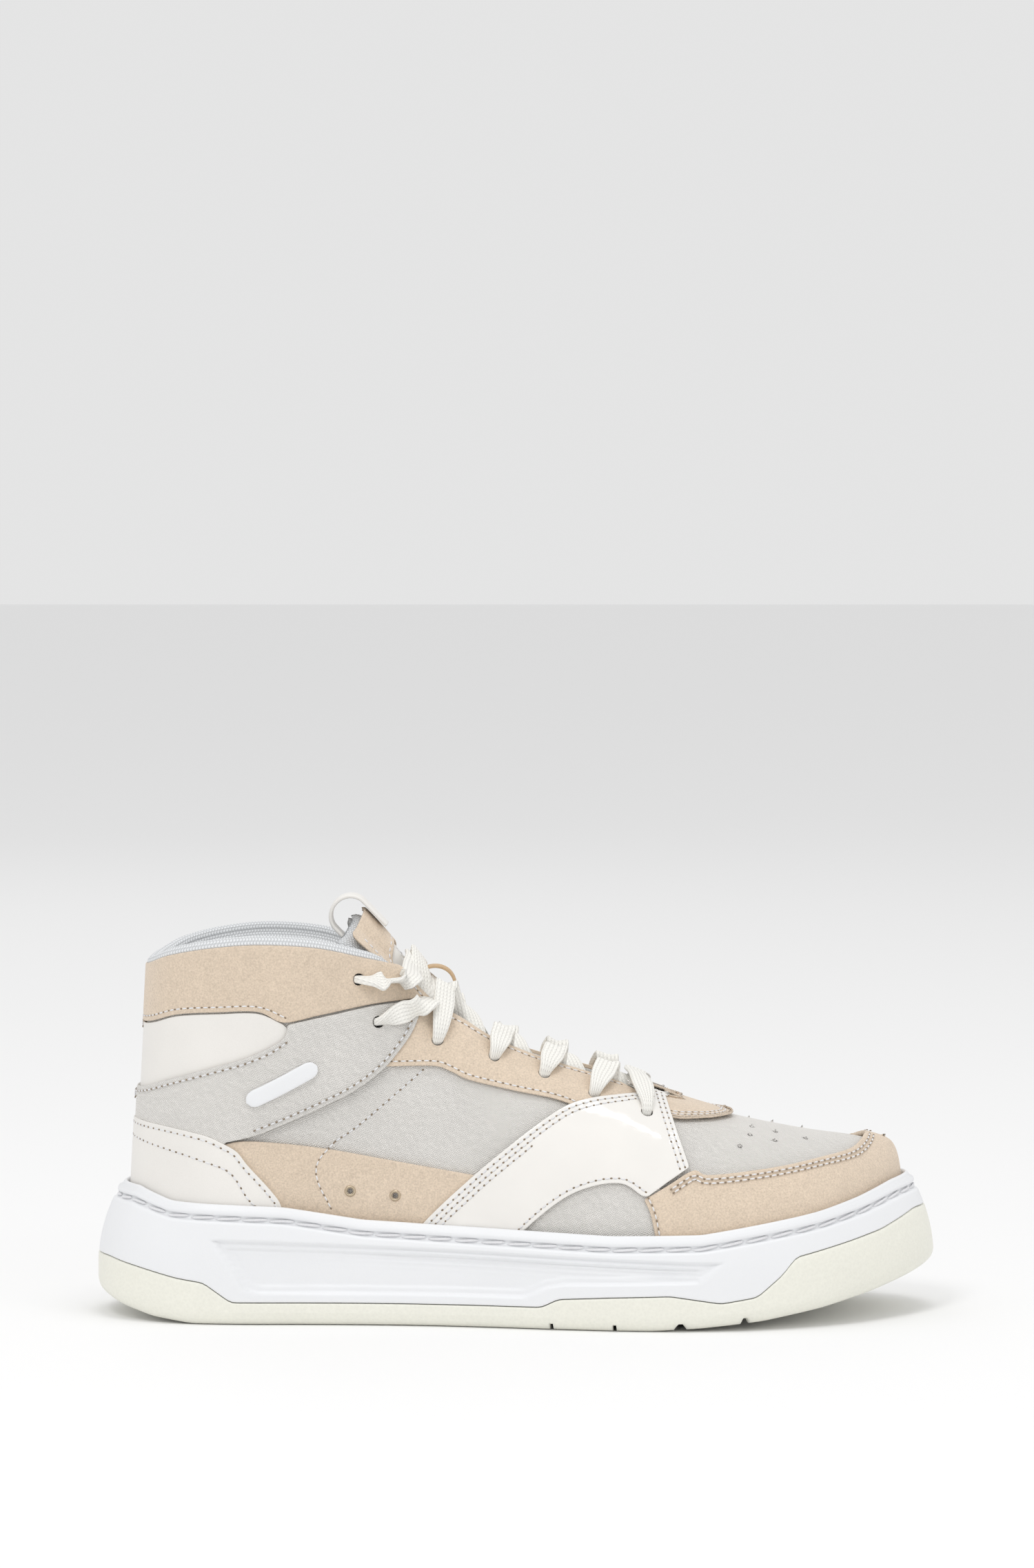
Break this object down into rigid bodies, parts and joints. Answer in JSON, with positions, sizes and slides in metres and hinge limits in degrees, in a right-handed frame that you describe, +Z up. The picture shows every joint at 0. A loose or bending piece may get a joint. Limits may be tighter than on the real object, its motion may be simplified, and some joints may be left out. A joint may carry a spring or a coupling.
{
  "type": "basketball high top",
  "caption": "Right basketball high top with a stitched rubber cupsole, layered leather and suede panels, padded collar, tongue with pull loop, and flat laces.",
  "frame": {"origin": "centre of the shoe's box at ground level, below the arch", "axes": "+X towards the toe, +Y towards the inner (medial) side, +Z up"},
  "size_m": [0.305, 0.1138, 0.1519],
  "materials": {
    "suede": "sand-beige suede with a short matt nap",
    "smooth_leather": "off-white smooth leather, low sheen",
    "grained_leather": "off-white tumbled grained leather, matt",
    "patent_leather": "off-white patent leather, high gloss",
    "midsole_rubber": "white moulded rubber, satin",
    "outsole_rubber": "cloudy translucent rubber with a faint green tint",
    "thread": "braided white thread",
    "mesh": "pale grey knitted mesh",
    "foam": "soft open foam",
    "board": "pressed fibre board",
    "lace": "off-white flat woven cotton",
    "tan_leather": "undyed tan leather tape",
    "metal": "small satin metal rings"
  },
  "bodies": {
    "shoe": {"ankle_panel": "smooth_leather", "ankle_strap": "grained_leather", "arch_insert_lateral": "grained_leather", "arch_insert_medial": "grained_leather", "collar_binding": "mesh", "collar_foam_lateral": "foam", "collar_foam_medial": "foam", "collar_suede": "suede", "eyestay_lateral": "suede", "eyestay_medial": "suede", "heel_counter": "board", "heel_overlay": "smooth_leather", "lace": "lace", "lasting_board": "board", "lining": "mesh", "midfoot_suede_lateral": "suede", "midfoot_suede_medial": "suede", "midsole": "midsole_rubber", "mudguard": "suede", "outsole": "outsole_rubber", "quarter_lateral": "grained_leather", "quarter_medial": "grained_leather", "saddle_lateral": "patent_leather", "saddle_medial": "patent_leather", "sidewall_stitch_thread": "thread", "sockliner": "foam", "toe_puff": "board", "vamp": "grained_leather", "vamp_tip": "suede", "vent_eyelet_lateral_front": "metal", "vent_eyelet_lateral_rear": "metal", "vent_eyelet_medial_front": "metal", "vent_eyelet_medial_rear": "metal"},
    "tongue": {"lace_keeper": "tan_leather", "pull_loop": "smooth_leather", "tongue_face": "smooth_leather", "tongue_foam": "foam", "tongue_lining": "mesh", "tongue_suede_top": "suede"}
  },
  "joints": [
    {"name": "tongue_tilt", "type": "hinge", "parent": "shoe", "child": "tongue", "pos_m": [0.05251, -0.0001, 0.07081], "axis": [0, -1, 0], "range_deg": [0, 1.5]}
  ]
}
